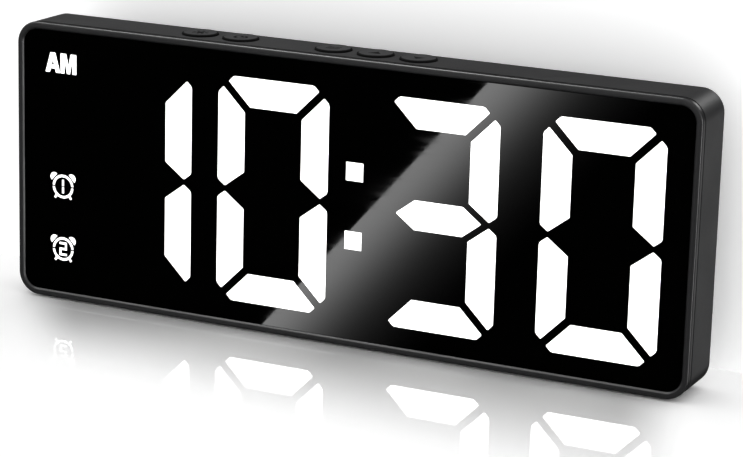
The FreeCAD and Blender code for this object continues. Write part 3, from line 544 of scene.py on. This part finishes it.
buttonSizes = {
    "radius": 4.0,
    "rise": 2.6,
    "edge": 0.35,
    "dish": 0.10,
    "signDepth": 0.2,
    "signBlur": 0.09,
    "signSpread": 0.10,
    "stem": 1.2,
    "flangeCorner": 1.2,
    # wallShade: how dark the painted shade on the button's side wall is
    "wallShade": 0.95,
    "rings": 60,
}


def boxDistance(x, y, middleX, middleY, halfX, halfY):
    return np.maximum(abs(x - middleX) - halfX, abs(y - middleY) - halfY)


def signDistance(kind, x, y):
    # signed distance in mm from the edge of each sign, negative inside it
    reach = np.hypot(x, y)
    if kind == "light":
        turn = np.arctan2(y, x)
        nearest = turn - np.round(turn / (math.pi / 4)) * math.pi / 4
        ray = boxDistance(reach * np.cos(nearest), reach * np.sin(nearest), 1.45, 0, 0.3, 0.16)
        return np.minimum(reach - 0.75, ray)
    if kind == "alarm":
        ring = abs(reach - 1.33) - 0.18
        upHand = boxDistance(x, y, 0, 0.4, 0.15, 0.5)
        sideHand = boxDistance(x, y, 0.35, 0.05, 0.4, 0.15)
        return np.minimum.reduce([ring, upHand, sideHand])
    if kind == "set":
        rows = [boxDistance(x, y, 0, middle, 1.4, 0.2) for middle in (-0.9, 0, 0.9)]
        return np.minimum.reduce(rows)
    # a triangle as the furthest of three straight edges; down is up turned over
    lift = y if kind == "up" else -y
    return np.maximum(-lift - 0.7, (abs(x) * 1.8 + lift * 1.3 - 1.43) / 2.22)


def makeButton(kind):
    # polar surface: height over the disc is the flat top, less a dish that is deepest in the middle,
    # less the sign's depth where the sign is
    sizes = buttonSizes
    low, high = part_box("button_" + kind)
    centre = (low + high) / 2
    radius, flangeTop = sizes["radius"], high.z / mm - sizes["rise"]
    rings = np.linspace(0, 1, sizes["rings"]) * (radius - sizes["edge"])
    edge = roundCorners([
        (radius - sizes["edge"] - 0.01, high.z / mm, 0), (radius, high.z / mm, sizes["edge"]),
        (radius, flangeTop - 0.4, 0), (0, flangeTop - 0.4, 0),
    ], steps=6)[1:]
    profile = np.concatenate([np.stack([rings, np.full_like(rings, high.z / mm)], 1), edge])
    grid = turned(profile * mm, (centre.x, centre.y, 0), 2, 96)
    x, y = (grid[..., 0] - centre.x) / mm, (grid[..., 1] - centre.y) / mm
    reach = np.hypot(x, y)
    onTop = np.zeros(grid.shape[:2])
    onTop[:, :len(rings)] = 1
    beyond = signDistance(kind, x, y) - sizes["signSpread"]
    sign = np.clip(0.5 - beyond / sizes["signBlur"], 0, 1) * onTop
    dish = sizes["dish"] * np.clip(1 - (reach / (radius - sizes["edge"])) ** 2, 0, 1) * onTop
    grid[..., 2] -= (dish + sign * sizes["signDepth"]) * mm
    rimIn = sizes["flangeCorner"]
    flange = roundCorners([
        (rimIn, flangeTop - 1, 0), (0, flangeTop - 1, 0.1), (0, flangeTop, 0.1), (rimIn, flangeTop, 0),
    ])
    skirt = carriedRound(flange * mm, (low.x, low.y), (high.x, high.y), rimIn * mm, 6, across=2)
    stem = roundCorners([
        (0, flangeTop - 0.9, 0), (sizes["stem"], flangeTop - 0.9, 0),
        (sizes["stem"], low.z / mm, 0.15), (0, low.z / mm, 0),
    ])
    column = turned(stem * mm, (centre.x, centre.y, 0), 2, 32)
    shells = [shell(grid, joinRows=True), closedPlate(skirt, 2), shell(column, joinRows=True)]
    marks = np.zeros(sum(len(points) for points, faces in shells))
    # the side wall is marked too: there the mark is painted shade, a near-black standing in for the gap's
    # shadow
    marks[:sign.size] = np.where(onTop > 0, sign, sizes["wallShade"]).ravel()
    piece = makePiece(
        "buttonCap_" + kind, shells, capAbs, "button_" + kind, marks={"sign": marks},
    )
    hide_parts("button_" + kind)


for kind in ("light", "alarm", "set", "up", "down"):
    makeButton(kind)
print("bezel, housing and buttons made")


# frame nodes that keep their shape, with their materials

nodeLooks = {
    "front_panel": panelAcrylic,
    "segments_off": panelAcrylic,
    "panel_tape": tapeFoam,
    "segments_lit": digitResin,
    "colon_dots": digitResin,
    "am_sign": signFilm,
    "alarm_signs": signFilm,
    "light_block": reflectorAbs,
    "led_chips": lampResin,
    "main_board": boardMask,
    "module_screws": screwZinc,
    "clock_chip": chipEpoxy,
    "chip_legs": tinPlate,
    "small_resistors": resistorGlaze,
    "usb_tongue": switchNylon,
    "battery_plug": plugNylon,
    "switch_bodies": switchNylon,
    "battery_contacts": springNickel,
}
for name, material in nodeLooks.items():
    data = nodes[name].data
    data.materials.clear()
    data.materials.append(material)

roundNodes = {
    "usbShell": ("usb_socket", tinPlate, "tin_plate"),
    "buzzerCan": ("buzzer", buzzerPbt, "chip_black"),
    "crystalCan": ("crystal", tinPlate, "tin_plate"),
    "capacitorCan": ("smoothing_capacitor", sleevePvc, "can_sleeve"),
    "leadRed": ("battery_lead_red", redPvc, "lead_red"),
    "leadBlack": ("battery_lead_black", blackPvc, "lead_black"),
}
for name, (node, material, slot) in roundNodes.items():
    smoothCopy(name, node, material, "case")
for kind in ("light", "alarm", "set", "up", "down"):
    smoothCopy("plungerPin_" + kind, "plunger_" + kind, plungerNylon, "button_" + kind)


# battery door: outer plate with finger ribs and a sunk arrow, over a wider plate that slides

doorSizes = {
    "skin": 0.8,
    "ribs": 6,
    "pitch": 1.6,
    "firstRib": 5.0,
    "ribDepth": 0.35,
    "ribLength": 12.0,
    "edge": 0.25,
    "arrowGap": 5.5,
    "arrowDepth": 0.25,
    "tongueCorner": 0.4,
}


def makeDoor():
    # the plate's outer face is drawn in by three depths: along the border e - sqrt(e^2 - (e - d)^2)
    # for a round of radius e at a distance d < e from the edge; in the ribs r (0.5 - 0.5 cos)^0.7
    # over one pitch; and a constant depth inside the arrow
    sizes = doorSizes
    low, high = (np.array(corner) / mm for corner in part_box("battery_door"))
    faceLow, faceHigh = low[2] + sizes["skin"], high[2] - sizes["skin"]
    xs = np.unique(np.concatenate([low[0] + borderSteps(high[0] - low[0]), np.arange(8.0, 24.0, 0.1)]))
    zs = faceLow + borderSteps(faceHigh - faceLow)
    x, z = np.meshgrid(xs, zs, indexing="ij")
    middle = (faceLow + faceHigh) / 2
    border = np.minimum.reduce([x - low[0], high[0] - x, z - faceLow, faceHigh - z])
    edge = sizes["edge"]
    fall = edge - np.sqrt(np.maximum(edge ** 2 - np.clip(edge - border, 0, None) ** 2, 0))
    last = high[0] - sizes["firstRib"] + sizes["pitch"] / 2
    first = last - sizes["ribs"] * sizes["pitch"]
    within = smoothEdge(sizes["ribLength"] / 2 - abs(z - middle), 0.5)
    within *= smoothEdge(x - first, 0.05) * smoothEdge(last - x, 0.05)
    channel = (0.5 - 0.5 * np.cos((x - first) * 2 * math.pi / sizes["pitch"])) ** 0.7
    arrowX = x - (first - sizes["arrowGap"])
    arrow = np.maximum(-arrowX, arrowX * 0.86 + abs(z - middle) * 0.5 - 1.9)
    sunk = smoothEdge(-arrow, 0.15) * sizes["arrowDepth"]
    outer = np.stack([x, high[1] - fall - sizes["ribDepth"] * channel * within - sunk, z], -1)
    inner = np.stack([x, np.full_like(x, high[1] - sizes["skin"]), z], -1)
    corner, tongueBack = sizes["tongueCorner"], high[1] - sizes["skin"]
    tongue = roundCorners([
        (corner, low[1], 0), (0, low[1], 0.12), (0, tongueBack, 0.12), (corner, tongueBack, 0),
    ])
    plate = carriedRound(tongue * mm, low[[0, 2]] * mm, high[[0, 2]] * mm, corner * mm, 4)
    shells = [slabShell(outer * mm, inner * mm), closedPlate(plate, 1)]
    piece = makePiece("doorCover", shells, doorAbs, "battery_door")
    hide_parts("battery_door")


def borderSteps(length):
    # places along a side, close together near both ends and 1 mm apart between them
    near = np.array([0, 0.03, 0.08, 0.15, 0.25, 0.5])
    return np.concatenate([near, np.linspace(1, length - 1, int(length)), length - near[::-1]])


def smoothEdge(distance, blur):
    share = np.clip(distance / blur + 0.5, 0, 1)
    return share * share * (3 - 2 * share)


makeDoor()


# cells: a turned can in its sleeve, with a crimped shoulder and a nub

cellSizes = {"nub": 1.9, "nubRise": 1.15, "shoulder": 0.9, "crimp": 1.3, "bandShare": 0.74, "around": 56}


def makeCell(index):
    name = f"cell_{index + 1}"
    low, high = (np.array(corner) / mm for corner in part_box(name))
    sizes = cellSizes
    radius = (high[2] - low[2]) / 2
    length = high[0] - low[0]
    shoulder, nubFoot = length - sizes["shoulder"], length - sizes["nubRise"]
    profile = roundCorners([
        (0, 0, 0), (radius - 1.2, 0, 0.1), (radius - 1.0, 0.25, 0.1), (radius, 0.25, 0.4),
        (radius, shoulder, 0.5), (radius - 0.9, shoulder, 0.2), (radius - sizes["crimp"], nubFoot, 0.2),
        (sizes["nub"], nubFoot, 0.2), (sizes["nub"], length, 0.35), (0, length, 0),
    ], steps=5)
    # stretch of the sleeve divided so that its printed band has a crisp edge
    split = np.searchsorted(profile[:, 1], length * 0.5)
    bandAt = length * sizes["bandShare"]
    extra = np.array([[radius, bandAt - 0.02], [radius, bandAt + 0.02]])
    profile = np.concatenate([profile[:split], extra, profile[split:]])
    reach, along = profile[:, 0], profile[:, 1]
    band = np.where(along > bandAt, 1.0, 0.0)
    bare = (reach < radius - 0.95) & ((along > length - 1.5) | (along < 0.3))
    band = np.where(bare, 2.0, band)
    side = 1 if index % 2 else -1
    place = np.where(side > 0, low[0] + along, high[0] - along)
    middle = (0, (low[1] + high[1]) / 2 * mm, (low[2] + high[2]) / 2 * mm)
    grid = turned(np.stack([reach, place], 1) * mm, middle, 0, sizes["around"])
    marks = np.broadcast_to(band, grid.shape[:2])
    piece = makePiece(
        f"cellCan_{index + 1}", [shell(grid, joinRows=True)], cellSleeve, "case",
        sharpAngle=50, marks={"band": marks},
    )
    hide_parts(name)
    return side


springSizes = {"wire": 0.3, "wide": 2.9, "narrow": 2.35, "turns": 4.5}


def springShell(start, end, centreY, centreZ):
    # a tube along a helix that narrows towards the cell: the angle grows evenly, and the advance is
    # slow in the first and last turn, where the real coil lies flat
    sizes = springSizes
    share = np.linspace(0, 1, 260)
    angle = share * sizes["turns"] * 2 * math.pi
    advance = share - 0.11 * np.sin(2 * math.pi * share)
    reach = sizes["wide"] + (sizes["narrow"] - sizes["wide"]) * share
    x = start + (end - start) * advance
    line = np.stack([x, centreY + reach * np.cos(angle), centreZ + reach * np.sin(angle)], 1)
    ahead = np.gradient(line, axis=0)
    ahead /= np.linalg.norm(ahead, axis=1)[:, None]
    outwards = np.stack([np.zeros_like(angle), np.cos(angle), np.sin(angle)], 1)
    side = np.cross(ahead, outwards)
    side /= np.linalg.norm(side, axis=1)[:, None]
    outwards = np.cross(side, ahead)
    around = np.arange(10) * 2 * math.pi / 10
    ring = np.cos(around)[None, :, None] * outwards[:, None, :]
    ring = ring + np.sin(around)[None, :, None] * side[:, None, :]
    tube = line[:, None, :] + sizes["wire"] * ring
    tube = np.concatenate([np.repeat(line[:1, None], 10, 1), tube, np.repeat(line[-1:, None], 10, 1)])
    return shell(tube * mm, joinColumns=True)


coils = []
springLow, springHigh = (np.array(corner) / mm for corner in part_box("battery_springs"))
for index in range(3):
    side = makeCell(index)
    cellLow, cellHigh = (np.array(corner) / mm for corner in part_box(f"cell_{index + 1}"))
    middleY, middleZ = (cellLow[1] + cellHigh[1]) / 2, (cellLow[2] + cellHigh[2]) / 2
    # the spring stands at the can's flat end, away from its nub
    if side > 0:
        coils.append(springShell(springLow[0] + 0.3, cellLow[0] - 0.4, middleY, middleZ))
    else:
        coils.append(springShell(springHigh[0] - 0.3, cellHigh[0] + 0.4, middleY, middleZ))
springPiece = makePiece("contactSprings", coils, springNickel, "case", 60)
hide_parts("battery_springs")
print("door, cells and springs made")


# case screws: domed head with a cross recess that tapers towards its tips

screwSizes = {"head": 1.8, "rise": 1.2, "shank": 0.9, "arm": 1.15, "slot": 0.27, "depth": 0.75}


def makeScrews():
    sizes = screwSizes
    low, high = (np.array(corner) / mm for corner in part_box("case_screws"))
    shells = []
    for x in (low[0] + sizes["head"], high[0] - sizes["head"]):
        for z in (low[2] + sizes["head"], high[2] - sizes["head"]):
            rings = np.linspace(0, sizes["head"] - 0.35, 40)
            dome = high[1] - 0.22 * (rings / sizes["head"]) ** 2
            edge = roundCorners([
                (sizes["head"] - 0.3, dome[-1], 0), (sizes["head"], dome[-1] - 0.1, 0.3),
                (sizes["head"], high[1] - sizes["rise"], 0.1), (sizes["shank"], high[1] - sizes["rise"], 0),
                (sizes["shank"], low[1] + 0.6, 0), (0, low[1], 0),
            ])
            profile = np.concatenate([np.stack([rings, dome], 1), edge])
            grid = turned(profile * mm, (x * mm, 0, z * mm), 1, 72)
            across, up = abs(grid[..., 0] / mm - x), abs(grid[..., 2] / mm - z)
            reach = np.hypot(across, up)
            width = sizes["slot"] * np.clip(1.25 - 0.45 * reach / sizes["arm"], 0.5, 2)
            inSlot = smoothEdge(width - np.minimum(across, up), 0.08) * smoothEdge(sizes["arm"] - reach, 0.12)
            inSlot[:, len(rings):] = 0
            grid[..., 1] -= inSlot * sizes["depth"] * np.clip(1.15 - 0.5 * reach, 0.4, 1) * mm
            shells.append(shell(grid, joinRows=True))
    piece = makePiece("caseScrewHeads", shells, screwZinc, "case")
    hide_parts("case_screws")


# feet: rubber pads with a rounded lower edge and a shallow hollow underneath

# middle x and y, half length and half depth of a pad, each with a twin on the other side
footPlaces = [(62.0, -6.0, 7.0, 2.5), (20.15, 7.0, 3.0, 3.0)]


def makeFeet():
    low, high = (np.array(corner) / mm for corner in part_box("rubber_feet"))
    shells = []
    hollow = 0.12
    for middleX, middleY, halfX, halfY in footPlaces:
        for sign in (-1, 1):
            section = roundCorners([
                (halfY, low[2] + hollow, 0), (halfY * 0.45, low[2] + hollow, 0.2),
                (halfY * 0.35, low[2], 0.2),
                (0, low[2], 0.3), (0, high[2], 0.1), (halfY, high[2], 0),
            ])
            ring = carriedRound(
                section * mm, ((sign * middleX - halfX) * mm, (middleY - halfY) * mm),
                ((sign * middleX + halfX) * mm, (middleY + halfY) * mm), halfY * mm, 10, across=2,
            )
            shells.append(shell(ring, joinRows=True))
    piece = makePiece("footPads", shells, footRubber, "case")
    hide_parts("rubber_feet")


makeScrews()
makeFeet()
print("screws and feet made")


# studio: white room, pale floor with a fading gloss, and cards seen only in reflections

studio = {
    "sky": 1.0,
    "floorWhite": 1.1,
    "floorLevel": -0.02,
    "floorGloss": 0.60,
    "mirrorWhite": 0.98,
    "glossRun": 52,
    "glossTurn": 3.2,
    "glossSide": 16,
    "backdropGap": 1,
    "backdropWhite": 1.35,
    "wide": 4000,
    "pitReach": 9000,
    "pitLevel": -450,
    "flagReach": 5000,
    "flagAway": 1500,
    "flagTop": 1700,
    "cardFrom": -600,
    "cardReach": 260,
    "stripe": ((112.7, 60), (61.8, 1)),
    "stripeFade": 29,
    "stripeLight": 4.6,
}

cards = {
    # heading from the clock, distance, width, height, strength
    "cardAbove": ((-0.42, 0.08, 0.90), 900, 700, 300, 15.0),
    "cardRight": ((0.88, -0.42, -0.22), 900, 320, 700, 16.0),
    "cardBehind": ((0.30, 0.86, 0.42), 900, 260, 260, 5.0),
    "cardSide": ((0.42, 0.86, -0.22), 1100, 700, 300, 0.5),
}


def addSheet(name, corners, material):
    mesh = bpy.data.meshes.new(name)
    mesh.from_pydata([Vector(c) * mm for c in corners], [], [(0, 1, 2, 3)])
    mesh.materials.append(material)
    sheet = bpy.data.objects.new(name, mesh)
    bpy.context.scene.collection.objects.link(sheet)
    return sheet


def level(reach, height):
    # the corners of a level square, facing up
    return [(x, y, height) for x, y in ((-reach, -reach), (reach, -reach), (reach, reach), (-reach, reach))]


def upright(reach, away, bottom, top):
    # the corners of an upright sheet across Y, facing the front
    return [(-reach, away, bottom), (reach, away, bottom), (reach, away, top), (-reach, away, top)]


def reflectionOnly(sheet):
    sheet.visible_camera = False
    sheet.visible_diffuse = False
    sheet.visible_shadow = False
    sheet.visible_transmission = False


def makeWorld():
    world = bpy.data.worlds.new("Room")
    bpy.context.scene.world = world
    world.use_nodes = True
    backdrop = next(n for n in world.node_tree.nodes if n.type == "BACKGROUND")
    backdrop.inputs["Color"].default_value = (1, 1, 1, 1)
    backdrop.inputs["Strength"].default_value = studio["sky"]


def makeFloor():
    material, tree, place = newMaterial("Floor_pale_lacquer")
    spot = addNode(tree, "SeparateXYZ", (place,))
    front = cadLow.y
    # the gloss fades with the distance from the clock's front, sooner on the left than on the right
    ahead = addNode(tree, "Math", (front, spot["Y"]), operation="SUBTRACT")[0]
    turn = addNode(tree, "Math", (spot["X"], -studio["glossTurn"], 1.0), operation="MULTIPLY_ADD")[0]
    gone = addNode(tree, "Math", (ahead, turn), operation="MULTIPLY")[0]
    run = studio["glossRun"] * mm
    fade = addNode(tree, "MapRange", (gone, 0, run, studio["floorGloss"], 0), **smooth)[0]
    # the lacquer only mirrors where the clock stands over it: a floor point's reflected line is
    # followed to the plane of the clock's front, and has to arrive within the clock's width
    back = addNode(tree, "Math", (spot["Y"], cameraPlace.y), operation="SUBTRACT")[0]
    share = addNode(tree, "Math", (ahead, back), operation="DIVIDE")[0]
    aside = addNode(tree, "Math", (spot["X"], cameraPlace.x), operation="SUBTRACT")[0]
    landing = addNode(tree, "Math", (aside, share, spot["X"]), operation="MULTIPLY_ADD")[0]
    outside = addNode(tree, "Math", (landing,), operation="ABSOLUTE")[0]
    side = cadHigh.x - studio["glossSide"] * mm
    under = addNode(tree, "MapRange", (outside, side, cadHigh.x + 2 * mm, 1, 0), **smooth)[0]
    behind = addNode(tree, "MapRange", (spot["Y"], front, front + mm, 1, 0), **smooth)[0]
    gloss = addNode(tree, "Math", (fade, under), operation="MULTIPLY")[0]
    gloss = addNode(tree, "Math", (gloss, behind), operation="MULTIPLY")[0]
    white, silver = studio["floorWhite"], studio["mirrorWhite"]
    matt = addNode(tree, "BsdfDiffuse", {"Color": (white, white, white, 1)})[0]
    mirrorInputs = {"Color": (silver, silver, silver, 1), "Roughness": 0.03}
    mirror = addNode(tree, "BsdfAnisotropic", mirrorInputs)[0]
    both = addNode(tree, "MixShader", (gloss, matt, mirror))[0]
    addNode(tree, "OutputMaterial", (both,))
    floor = addSheet("floor", level(studio["wide"], studio["floorLevel"]), material)
    floor.visible_glossy = False


def makeBackdrop():
    # a white sheet close behind the clock catches its soft shadow. It is seen only from in front and
    # neither lights the clock nor shows in it.
    material, tree, place = newMaterial("Backdrop_matt_white")
    behind = addNode(tree, "NewGeometry")["Backfacing"]
    white = studio["backdropWhite"]
    matt = addNode(tree, "BsdfDiffuse", {"Color": (white, white, white, 1)})[0]
    clear = addNode(tree, "BsdfTransparent")[0]
    both = addNode(tree, "MixShader", (behind, matt, clear))[0]
    addNode(tree, "OutputMaterial", (both,))
    away = cadHigh.y / mm + studio["backdropGap"]
    backdrop = addSheet("backdrop", upright(studio["wide"], away, -20, studio["wide"]), material)
    reflectionOnly(backdrop)
    backdrop.visible_camera = True
    backdrop.visible_glossy = False


def lightMaterial(name, strength):
    material, tree, place = newMaterial(name)
    light = addNode(tree, "Emission", {"Strength": strength})[0]
    addNode(tree, "OutputMaterial", (light,))
    return material


def makeStripeCard():
    # the panel mirrors this card. A panel point is seen on it where the line from the mirrored camera
    # through that point meets it, so the card's picture is the panel's, scaled about the mirrored camera.
    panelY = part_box("front_panel")[0].y / mm
    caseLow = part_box("rear_housing")[0] / mm
    eye = np.array([cameraPlace.x, 2 * panelY * mm - cameraPlace.y, cameraPlace.z]) / mm
    scale = (studio["cardFrom"] - eye[1]) / (panelY - eye[1])

    def onCard(x, z):
        panelPoint = np.array([caseLow.x + x, panelY, caseLow.z + z])
        return eye + (panelPoint - eye) * scale

    top, bottom = (onCard(*spot) for spot in studio["stripe"])
    along = (top - bottom) / np.linalg.norm(top - bottom)
    aside = np.array([along[2], 0, -along[0]])
    material, tree, place = newMaterial("Stripe_card")
    offset = addNode(tree, "VectorMath", (place, aside), operation="DOT_PRODUCT")["Value"]
    edge = float(bottom @ aside) * mm
    width = studio["stripeFade"] * scale * mm
    share = addNode(tree, "MapRange", (offset, edge, edge + width))[0]
    # with the share s of the way across from the sharp edge, the light is a bell and a thin tail:
    # 0.85 exp(-10.4 s^2) + 0.15 (1 - s)^1.6
    squared = addNode(tree, "Math", (share, 2.0), operation="POWER")[0]
    bell = addNode(tree, "Math", (squared, -10.4), operation="MULTIPLY")[0]
    bell = addNode(tree, "Math", (bell,), operation="EXPONENT")[0]
    rest = addNode(tree, "Math", (1.0, share), operation="SUBTRACT")[0]
    tail = addNode(tree, "Math", (rest, 1.6), operation="POWER")[0]
    tail = addNode(tree, "Math", (tail, 0.15), operation="MULTIPLY")[0]
    total = addNode(tree, "Math", (bell, 0.85, tail), operation="MULTIPLY_ADD")[0]
    strength = addNode(tree, "Math", (total, studio["stripeLight"]), operation="MULTIPLY")[0]
    light = addNode(tree, "Emission", {"Strength": strength})[0]
    addNode(tree, "OutputMaterial", (light,))
    reach = along * studio["cardReach"]
    far = aside * width / mm
    corners = [bottom - reach, bottom - reach + far, top + reach + far, top + reach]
    reflectionOnly(addSheet("stripeCard", corners, material))


def makePit():
    # a black sheet under everything, seen only in reflections that look down
    corners = level(studio["pitReach"], studio["pitLevel"])
    reflectionOnly(addSheet("pit", corners, lightMaterial("Pit_black", 0.0)))


def makeFlag():
    # a black flag behind the clock, again seen only in reflections: it keeps the roof dark
    corners = upright(studio["flagReach"], studio["flagAway"], studio["pitLevel"], studio["flagTop"])
    reflectionOnly(addSheet("flag", corners, lightMaterial("Flag_black", 0.0)))


def makeCard(name):
    # a glowing card in a direction seen from the clock's middle, facing it
    heading, distance, width, height, strength = cards[name]
    towards = Vector(heading).normalized()
    middle = Vector((0, 0, 40)) + towards * distance
    side = towards.cross(Vector((0, 0, 1))).normalized() * width / 2
    up = side.cross(towards).normalized() * height / 2
    corners = [middle - side - up, middle + side - up, middle + side + up, middle - side + up]
    reflectionOnly(addSheet(name, corners, lightMaterial(name, strength)))


makeWorld()
makeFloor()
makeBackdrop()
makeStripeCard()
makePit()
makeFlag()
for name in cards:
    makeCard(name)
print("studio made")
